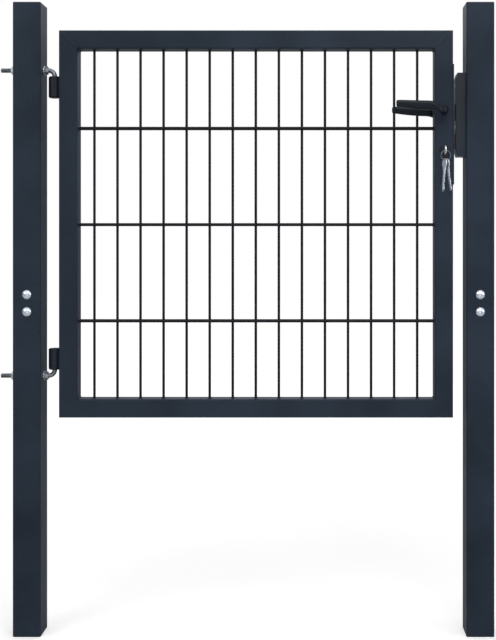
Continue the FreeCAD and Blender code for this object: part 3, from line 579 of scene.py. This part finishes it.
# The hinge bolts are M10 rods of zinc-plated steel, threaded through the post and bent square to a
# smooth pin. The upper pin points down and the lower one up, so that the leaf can't be lifted off.
rod_radius = 5
thread_pitch = 1.5
thread_root = 4.15
rod_start = -63
rod_levels = {"upper": 1217.5, "lower": 556}
pin_x = 53.4
bend_radius = 13
bend_x = pin_x - bend_radius
pin_length = 43.5
pin_chamfer = 1
point_length = 1.2
hook_sides = 32
bend_steps = 12


def join(pieces, name):
    """Makes one object of several."""
    alone(pieces[0])
    for piece in pieces[1:]:
        piece.select_set(True)
    bpy.ops.object.join()
    pieces[0].name = name
    return pieces[0]


def threaded_rod(name, root, crest, pitch, length):
    """A rolled thread about the Z axis from height 0, cut square at both ends."""
    rod = start_point(name, root, -pitch)
    for out, along in ((crest - root, 0.4), (0, 0.15), (root - crest, 0.45)):
        bpy.ops.mesh.extrude_vertices_move(
            TRANSFORM_OT_translate={"value": (out * MM, 0, along * pitch * MM)})
    bpy.ops.object.mode_set(mode="OBJECT")
    bpy.ops.object.modifier_add(type="SCREW")
    coil = rod.modifiers[-1]
    coil.axis = "Z"
    coil.screw_offset = pitch * MM
    coil.iterations = math.ceil(length / pitch) + 2
    coil.steps = 20
    coil.render_steps = 20
    bpy.ops.object.modifier_apply(modifier=coil.name)
    bpy.ops.object.mode_set(mode="EDIT")
    bpy.ops.mesh.select_all(action="SELECT")
    bpy.ops.mesh.remove_doubles(threshold=0.002 * MM)
    bpy.ops.mesh.select_all(action="SELECT")
    bpy.ops.mesh.bisect(plane_co=(0, 0, 0), plane_no=(0, 0, 1), use_fill=True, clear_inner=True)
    bpy.ops.mesh.select_all(action="SELECT")
    bpy.ops.mesh.bisect(plane_co=(0, 0, length * MM), plane_no=(0, 0, 1), use_fill=True, clear_outer=True)
    leave_edit()
    return rod


thread_end = bend_x - 1
thread_start = rod_start + point_length
thread = threaded_rod("hinge_thread", thread_root, rod_radius, thread_pitch, thread_end - thread_start)
place(thread, (thread_start, 0, 0), (0, 90, 0))
soften(thread, angle=25)
point = lathe("hinge_thread_point", [
    (0, 0), (3.7, 0), (4.5, 0.9), (4.5, 2.4), (0, 2.4)], steps=hook_sides)
place(point, (rod_start, 0, 0), (0, 90, 0))
soften(point)

# The smooth part: a circle run along the rod, round the bend and down the pin, with a chamfered end.
bpy.ops.object.select_all(action="DESELECT")
bpy.ops.mesh.primitive_circle_add(
    vertices=hook_sides, radius=rod_radius * MM, location=(thread_end * MM, 0, 0),
    rotation=(0, math.radians(90), 0))
hook = bpy.context.active_object
hook.name = "hinge_hook"
bpy.ops.object.transform_apply(location=True, rotation=True, scale=True)
bpy.ops.object.mode_set(mode="EDIT")
bpy.ops.mesh.select_all(action="SELECT")
extrude(bend_x - thread_end, 0, 0)
bpy.ops.mesh.spin(
    steps=bend_steps, angle=math.radians(-90), center=(bend_x * MM, 0, -bend_radius * MM), axis=(0, 1, 0))
extrude(0, 0, pin_chamfer - pin_length)
extrude(0, 0, -pin_chamfer)
shrink = (rod_radius - pin_chamfer) / rod_radius
pin_foot = (pin_x * MM, 0, -(bend_radius + pin_length) * MM)
bpy.ops.transform.resize(value=(shrink, shrink, 1), center_override=pin_foot)
bpy.ops.mesh.edge_face_add()
pick(hook, "VERT", lambda corner: corner.co.x < (thread_end + 0.01) * MM)
bpy.ops.mesh.edge_face_add()
leave_edit()
soften(hook)
hinge_bolt = join([hook, thread, point], "hinge_bolt")

# The rods' plate is drawn duller and darker than the nuts'.
dull_zinc = zinc("dull_zinc_plate", "#7f8488", "#a3a6a8", smooth=0.3, rough=0.42)
for side, tilt in (("upper", 0), ("lower", 180)):
    bolt = copy_of(hinge_bolt, side + "_bent_hinge_bolt")
    place(bolt, (0, 0, rod_levels[side]), (tilt, 0, 0))
    fit(bolt, side + "_hinge_bolt", dull_zinc)
bpy.data.objects.remove(hinge_bolt)


# Each hinge bolt has a nut and a washer on both sides of the post. The washers are stamped from sheet,
# with a soft edge where the punch enters and a sharp one where it leaves, and plated with the nuts.
washer_dia = 20
washer_thick = 2
washer_hole = 10.6
hinge_nut_flats = 16
hinge_nut = 8
hole_radius = washer_hole / 2
rim_radius = washer_dia / 2
washer = lathe("stamped_washer", [
    (hole_radius, 0), (rim_radius - 0.1, 0), (rim_radius, 0.1), (rim_radius, 1.4), (rim_radius - 0.2, 1.85),
    (rim_radius - 0.6, washer_thick), (hole_radius + 0.4, washer_thick), (hole_radius, 1.7),
    (hole_radius, 0)], steps=48)
soften(washer, angle=40)
nut = hexagon_nut("hinge_nut", hinge_nut_flats, hinge_nut, 2 * rod_radius)
place(nut, (0, 0, 0), (0, 0, 30))
for side, level in rod_levels.items():
    for where, tilt, sign in (("inner", 90, 1), ("outer", -90, -1)):
        seated = copy_of(washer, f"{side}_{where}_stamped_washer")
        place(seated, (sign * half_post, 0, level), (0, tilt, 0))
        fit(seated, "hinge_washers", zinc_plate)
        tight = copy_of(nut, f"{side}_{where}_hexagon_nut")
        place(tight, (sign * (half_post + washer_thick), 0, level), (0, tilt, 0))
        fit(tight, "hinge_nuts", zinc_plate)
bpy.data.objects.remove(washer)
bpy.data.objects.remove(nut)


# The leaf hangs on two hinge barrels: bored steel sleeves, turned with a chamfer at both ends. Each stands
# on a short flat neck that is fillet-welded to the hinge stile, and both were coated black with the leaf.
barrel_radius = 13
barrel_length = 46
barrel_chamfer = 2
barrel_bore = 5.1
neck_half = 8
neck_edge = 0.4
weld_radius = 1.9
weld_x = barrel_radius - 1.6
ripple_length = 1.6
barrel_feet = {"upper": 1158, "lower": 569.5}


def weld_bead(name, start, end, radius, turn):
    """A fillet of weld metal in a row of ripples, laid from one point along an axis and painted over."""
    length = (Vector(end) - Vector(start)).length
    count = max(3, round(length / ripple_length))
    pitch = length / count
    outline = [(0, 0), (0.7 * radius, 0.02 * pitch)]
    for ripple in range(count):
        for out, along in ((0.93, 0.25), (1, 0.6), (0.9, 0.95)):
            outline.append((out * radius, (ripple + along) * pitch))
    outline += [(0.6 * radius, length), (0, length)]
    bead = lathe(name, outline, steps=10)
    soften(bead, angle=60)
    place(bead, start, turn)
    return bead


barrel_mouth = barrel_bore + 0.6
barrel_end = barrel_radius - barrel_chamfer
barrel_outline = [
    (barrel_bore, 0.6), (barrel_mouth, 0), (barrel_end, 0), (barrel_radius - 0.2, barrel_chamfer - 0.2),
    (barrel_radius, barrel_chamfer + 0.3)]
barrel_outline += [(out, barrel_length - up) for out, up in reversed(barrel_outline)]
barrel = lathe("turned_barrel", barrel_outline + barrel_outline[:1], steps=56)
soften(barrel)
neck_foot = 2 * barrel_chamfer
neck_top = barrel_length - neck_foot
neck = add_block(
    "barrel_neck", (barrel_radius - 3.5, -neck_half, neck_foot), (barrel_radius, neck_half, neck_top))
soften(neck, neck_edge)
beads = []
for sign in (1, -1):
    beads.append(weld_bead(
        "neck_weld", (weld_x, sign * neck_half, neck_foot), (weld_x, sign * neck_half, neck_top),
        weld_radius, (0, 0, 0)))
barrel = join([barrel, neck] + beads, "welded_barrel")
barrel_coat = powder_coat(
    "black_anthracite_powder_coat", "#12171f", "#1c232f", roughness=0.42, gloss=0.25)
for side, foot in barrel_feet.items():
    hung = copy_of(barrel, side + "_welded_hinge_barrel")
    place(hung, (pin_x, 0, foot))
    fit(hung, side + "_hinge_barrel", barrel_coat)
bpy.data.objects.remove(barrel)


# The leaf's frame is square steel tube, mitred at the corners, welded all round and ground nearly flush on
# the faces before it was coated. The joints show as a faint swelling there and a bead in the inner corners.
tube_width = 40
leaf_x = (66.4, 914.9)
leaf_z = (467.5, 1301.5)
bead_inset = 4
bead_radius = 1.6
swelling_sunk = 0.1
frame_coat = powder_coat(
    "satin_anthracite_frame_coat", "#18222d", "#252f3c", roughness=0.46, gloss=0.17)
inner_x = (leaf_x[0] + tube_width, leaf_x[1] - tube_width)
inner_z = (leaf_z[0] + tube_width, leaf_z[1] - tube_width)
ground_weld = lathe("ground_weld", [
    (0, 0), (1.6, 1), (2.6, 6), (3.1, 14), (2.7, 21), (3.2, 28), (2.8, 36), (3, 44), (1.8, 50),
    (0, 52)], steps=16)
ground_weld.scale = (1, 0.2, 1)
place(ground_weld, (0, 0, 0))
soften(ground_weld, angle=60)
for part in ("hinge_stile", "lock_stile", "top_rail", "bottom_rail"):
    tube = solid_copy(part)
    soften(tube)
    corner_welds = []
    if part.endswith("stile"):
        side = 0 if part == "hinge_stile" else 1
        across = inner_x[side]
        bead_end = tube_width / 2 - bead_inset
        for up, lean in zip(inner_z, (135, 45)):
            corner_welds.append(weld_bead(
                "corner_weld", (across, -bead_end, up), (across, bead_end, up), bead_radius, (-90, 0, 0)))
            for sign in (-1, 1):
                swelling = copy_of(ground_weld, "mitre_weld")
                face = sign * (tube_width / 2 - swelling_sunk)
                place(swelling, (across, face, up), (0, lean if side else -lean, 0))
                corner_welds.append(swelling)
    tube = join([tube] + corner_welds, "finished_" + part)
    fit(tube, part, frame_coat)
bpy.data.objects.remove(ground_weld)


# The infill is double-rod mesh: 5 mm uprights between pairs of 6 mm rods, drawn wire, resistance-welded
# at each crossing and then welded into the frame by their ends. Zinc and coat stand thick on the wires, so
# they are drawn 0.35 mm fuller all round than the bare wire, as they look in the photograph.
coat_build = 0.35
upright_radius = 2.5 + coat_build
mesh_rod_radius = 3 + coat_build
mesh_pitch = 50
mesh_uprights = 15
first_upright = 139.35
mesh_levels = (674.8, 883.3, 1091.8)
rod_offset = 5


def drawn_wire(name, radius, length):
    """A wire about the Z axis from height 0, with a collar of weld where each end meets the frame."""
    foot = [(0, 0), (radius + 1.9, 0), (radius + 1.2, 0.5), (radius + 0.4, 1.4), (radius, 2.8)]
    wire = lathe(name, foot + [(out, length - up) for out, up in reversed(foot)], steps=14)
    soften(wire, angle=50)
    return wire


upright = drawn_wire("mesh_upright", upright_radius, inner_z[1] - inner_z[0])
rod = drawn_wire("mesh_rod", mesh_rod_radius, inner_x[1] - inner_x[0])
place(rod, (inner_x[0], 0, 0), (0, 90, 0))
nugget = lathe("weld_nugget", [
    (0, -1.5), (2.1, -1.3), (3.5, -0.5), (3.7, 0), (3.5, 0.5), (2.1, 1.3), (0, 1.5)], steps=10)
place(nugget, (0, 0, 0), (90, 0, 0))
soften(nugget, angle=60)
wires = []
for number in range(mesh_uprights):
    across = first_upright + number * mesh_pitch
    stood = copy_of(upright, "mesh_upright")
    place(stood, (across, 0, inner_z[0]))
    wires.append(stood)
    for level in mesh_levels:
        for sign in (-1, 1):
            spot_weld = copy_of(nugget, "weld_nugget")
            place(spot_weld, (across, sign * upright_radius, level))
            wires.append(spot_weld)
for level in mesh_levels:
    for sign in (-1, 1):
        laid = copy_of(rod, "mesh_rod")
        place(laid, (0, sign * rod_offset, level))
        wires.append(laid)
for pattern in (upright, rod, nugget):
    bpy.data.objects.remove(pattern)
wire_coat = powder_coat("near_black_wire_coat", "#08090c", "#101218", roughness=0.42, gloss=0.2)
mesh_panel = join(wires, "welded_double_rod_mesh")
fit(mesh_panel, "mesh_panel", wire_coat)


# The lock sits inside the stile: a folded zinc-plated case behind a blackened forend plate, which is
# screwed to the stile's edge. Its latch and dead bolt are drawn back here, so that the leaf can swing.
black_steel, tree, spot = new_material("blackened_steel")
# Blackened steel keeps a dull metallic glint, with fine lengthwise brushing left under the oxide.
drawn_out = add_node(tree, "ShaderNodeMapping", {"Vector": spot, "Scale": (1, 1, 0.04)})
brushed = noise(tree, drawn_out.outputs["Vector"], size=0.8, detail=2)
surface(tree, {"Base Color": ramp(tree, brushed, "#2e3034", "#46484c"), "Metallic": 1, "Roughness": 0.42})

for part, finish, edge in (("lock_case", zinc_plate, 0.5), ("lock_forend", black_steel, 0.35),
                           ("latch_bolt", polished_steel, 0.6), ("dead_bolt", polished_steel, 0.6)):
    metalwork = solid_copy(part)
    soften(metalwork, edge)
    fit(metalwork, part, finish)


# Countersunk M5 screws hold the forend and the keep. They are cold-headed, with a cross recess punched
# into the head, and zinc-plated.
screw_head = 9.5
screw_dia = 5
screw_root = 2.05
screw_pitch = 0.8
head_depth = (screw_head - screw_dia) / 2
recess_long = 2.4
recess_wide = 0.55
recess_deep = 1.7


def countersunk_screw(name, length):
    """A screw about the Z axis, its flat head at height 0 and its point below."""
    rim = screw_head / 2 - 0.1
    outline = [(0, -length), (screw_root - 0.15, -length)]
    outline += ridges(screw_root, screw_dia / 2, -length + 0.5, -head_depth - 1, screw_pitch)
    outline += [(screw_dia / 2, -head_depth), (rim, -0.15), (rim, 0), (0, 0)]
    screw = lathe(name, outline, steps=32)
    for x, y in ((recess_long, recess_wide), (recess_wide, recess_long)):
        cut_with(screw, add_block(name + "_recess", (-x, -y, -recess_deep), (x, y, 1)), "DIFFERENCE")
    soften(screw, angle=40)
    return screw


forend_face = leaf_x[1] + 3
keep_face = 921.5
forend_screw_levels = (984, 1216)
keep_screw_levels = (1095, 1186)
for part, length, face, tilt, levels in (("forend", 14, forend_face, 90, forend_screw_levels),
                                         ("keep", 28.5, keep_face, -90, keep_screw_levels)):
    screw = countersunk_screw(part + "_screw", length)
    for number, level in enumerate(levels, start=1):
        driven = copy_of(screw, f"{part}_cross_screw_{number}")
        place(driven, (face, 0, level), (0, tilt, 0))
        fit(driven, part + "_screws", zinc_plate)
    bpy.data.objects.remove(screw)


# The keep is a milled block on the latch post, sloped at both ends, with a pocket for each bolt. Its coat
# is darker and glossier than the posts', and catches light where it faces the leaf's edge.
keep_coat = powder_coat(
    "glossier_anthracite_keep_coat", "#121a23", "#1e2732", roughness=0.36, gloss=0.4)
keep = solid_copy("keep")
soften(keep, edge=0.8, segments=3)
fit(keep, "keep", keep_coat)


# The profile cylinder runs through the stile: brass, drawn to the keyhole shape, black-nickel-plated, and
# its plug turns with the key in a keyway milled right through.
black_nickel, tree, spot = new_material("black_nickel_plate")
# Black nickel is a dark mirror with a brownish cast, rubbed duller by the key.
rubbed = noise(tree, spot, size=4, detail=4)
surface(tree, {
    "Base Color": ramp(tree, rubbed, "#3a3836", "#4a4744"),
    "Metallic": 1,
    "Roughness": spread(tree, rubbed, low=0.2, high=0.4),
})
for part, edge in (("lock_cylinder", 0.4), ("cylinder_plug", 0.25)):
    turned = solid_copy(part)
    soften(turned, edge)
    fit(turned, part, black_nickel)


# The lever handles are moulded in dark anthracite nylon, with a soft oval grip that rises a little from the
# neck and thins to its tip. One square steel spindle carries both.
lock_x = 895.5
spindle_z = 1127
neck_start = 20.3
neck_wide = 12
neck_high = 15
neck_corner = 4.2
crook = Vector((887.5, -44, spindle_z))
elbow_steps = 6
lever_nylon = moulded("satin_glass_filled_nylon", "#0a0f16", "#121924", roughness=0.36, gloss=0.2)


def rounded_face(name, middle, wide, high, corner, segments):
    """An upright face with rounded corners, in millimetres, in edit mode to be extruded or spun."""
    bpy.ops.object.select_all(action="DESELECT")
    bpy.ops.mesh.primitive_plane_add(size=MM, location=middle * MM, rotation=(math.radians(90), 0, 0))
    piece = bpy.context.active_object
    piece.name = name
    bpy.ops.object.transform_apply(location=True, rotation=True, scale=True)
    bpy.ops.object.mode_set(mode="EDIT")
    bpy.ops.mesh.select_all(action="SELECT")
    bpy.ops.transform.resize(value=(wide, 1, high), center_override=middle * MM)
    bpy.ops.mesh.bevel(offset=corner * MM, segments=segments, affect="VERTICES")
    return piece


def push_on(middle, step, size_y=1, size_z=1):
    """Extrudes the lever's end by a step, and scales it about its new middle, which is returned."""
    middle = middle + Vector(step)
    extrude(*step)
    bpy.ops.transform.resize(value=(1, size_y, size_z), center_override=middle * MM)
    return middle


middle = Vector((lock_x, -neck_start, spindle_z))
lever = rounded_face("front_moulded_lever", middle, neck_wide, neck_high, neck_corner, segments=3)
pick(lever, "FACE", lambda face: True)
for step in (0.4, 9, 13.3):
    middle = push_on(middle, (0, -step, 0))

# The elbow: the end is extruded in place and swung round the crook, a step at a time.
for turn in range(elbow_steps):
    extrude(0, 0, 0)
    bpy.ops.transform.rotate(
        value=math.radians(90 / elbow_steps), orient_axis="Z", center_override=crook * MM)

# The grip: from the elbow it rises to its fullest height at the knee and then thins slowly to the tip.
# Each row is a station's distance along the leaf, its height, and how high and thick the grip is there.
grip_stations = (
    (884, 1127, 15, 13), (879, 1129.4, 15.6, 14.5), (873, 1132.6, 17.6, 16), (866, 1134.8, 19.8, 16.2),
    (858, 1135.2, 20.4, 16.2), (841, 1135.7, 19.8, 15.6), (822, 1136.7, 18.6, 14.8),
    (803, 1138.2, 16.6, 13.8), (792.5, 1139, 15, 13), (789.3, 1139.1, 13.4, 11.4), (788.2, 1139.1, 9.5, 8))
knee_x = 880
knee_inner_face = -46
outer_face = -62
middle = crook + Vector((0, crook.x - lock_x, 0))
high, thick = neck_high, neck_wide
for x, z, new_high, new_thick in grip_stations:
    middle = push_on(middle, (x - middle.x, 0, z - middle.z), new_thick / thick, new_high / high)
    if x < knee_x:
        slide = outer_face + new_thick / 2 - middle.y
    else:
        slide = knee_inner_face - new_thick / 2 - middle.y
    bpy.ops.transform.translate(value=(0, slide * MM, 0))
    middle.y += slide
    high, thick = new_high, new_thick
leave_edit(gap=0.002)
bpy.ops.object.modifier_add(type="SUBSURF")
smooth = lever.modifiers[-1]
smooth.levels = 2
smooth.render_levels = 2
bpy.ops.object.modifier_apply(modifier=smooth.name)
bpy.ops.object.shade_smooth_by_angle(angle=math.radians(50))
other_lever = copy_of(lever, "back_moulded_lever")
alone(other_lever)
other_lever.scale = (1, -1, 1)
bpy.ops.object.transform_apply(location=True, rotation=True, scale=True)
bpy.ops.object.mode_set(mode="EDIT")
leave_edit()
fit(lever, "front_lever", lever_nylon)
fit(other_lever, "back_lever", lever_nylon)
spindle = solid_copy("spindle")
soften(spindle, edge=0.4)
fit(spindle, "spindle", zinc_plate)


# Three keys, stamped from nickel-plated brass: one in the lock, two on the ring. Each has a round bow, a
# shoulder, and a blade with a milled groove on both sides and its cuts on one edge.
key_nickel, tree, spot = new_material("nickel_plated_key_brass")
# Nickel plate is white with a cool cast, and pockets leave it covered in fine cloudy scratches.
worn = noise(tree, spot, size=2.5, detail=6)
surface(tree, {
    "Base Color": ramp(tree, worn, "#dce1e5", "#f0f3f5"),
    "Metallic": 1,
    "Roughness": spread(tree, worn, low=0.34, high=0.52),
})
key_hole = Vector((lock_x, -45, 1042))
groove_ends = (-24, 21)
groove_floor = 0.6
groove_outside = 2
key_edge = 0.25
spare_key_twist = 17
hang_z = 1018.7
key = solid_copy("inserted_key")
for side in (-1, 1):
    groove = add_block(
        "key_groove", (lock_x + side * groove_floor, groove_ends[0], key_hole.z - 0.4),
        (lock_x + side * groove_outside, groove_ends[1], key_hole.z + 1.2))
    cut_with(key, groove, "DIFFERENCE")
soften(key, key_edge)
key.name = "key_in_lock"
for side, aside, lean in (("left", -2.2, -3), ("right", 2.2, 8)):
    spare = copy_of(key, f"{side}_spare_key")
    place(spare, -key_hole)
    place(spare, (0, 0, 0), (-90, 0, 0))
    place(spare, (0, 0, 0), (0, 0, spare_key_twist))
    place(spare, (lock_x + aside, key_hole.y, hang_z), (0, -lean, 0))
    fit(spare, "hanging_keys", key_nickel)
fit(key, "inserted_key", key_nickel)


# The ring is a split ring: flat spring-steel wire wound twice round, with a step where the turns change
# places. Its thin zinc plate has gone grey from handling.
ring_middle = (lock_x, key_hole.y, 1029.9)
ring_outer = 11.1
ring_inner = 9.5
turn_thick = 0.78
turn_corner = 0.2
ring_steps = 56
step_parts = 4
step_drop = 0.2
step_angle = 20
turn_middle = Vector(((ring_inner + ring_outer) / 2, 0, step_parts * step_drop / 2))
ring = rounded_face("split_ring", turn_middle, ring_outer - ring_inner, turn_thick, turn_corner, segments=2)
bpy.ops.mesh.select_all(action="SELECT")
bpy.ops.mesh.delete(type="ONLY_FACE")
bpy.ops.mesh.select_all(action="SELECT")
whole_turn = math.radians(360 - step_angle)
bpy.ops.mesh.spin(steps=ring_steps, angle=whole_turn, center=(0, 0, 0), axis=(0, 0, 1))
for step in range(step_parts):
    extrude(0, 0, -step_drop)
    bpy.ops.transform.rotate(
        value=math.radians(-step_angle / step_parts), orient_axis="Z", center_override=(0, 0, 0))
bpy.ops.mesh.spin(steps=ring_steps, angle=whole_turn, center=(0, 0, 0), axis=(0, 0, 1))
bpy.ops.mesh.edge_face_add()
pick(ring, "VERT", lambda corner: abs(corner.co.y) < 0.001 * MM and corner.co.x > 0 and corner.co.z > 0)
bpy.ops.mesh.edge_face_add()
leave_edit()
soften(ring, angle=40)
place(ring, ring_middle, (90, 0, 0))
ring_steel = zinc("tarnished_spring_steel", "#6f757b", "#959b9f", smooth=0.25, rough=0.4)
fit(ring, "key_ring", ring_steel)
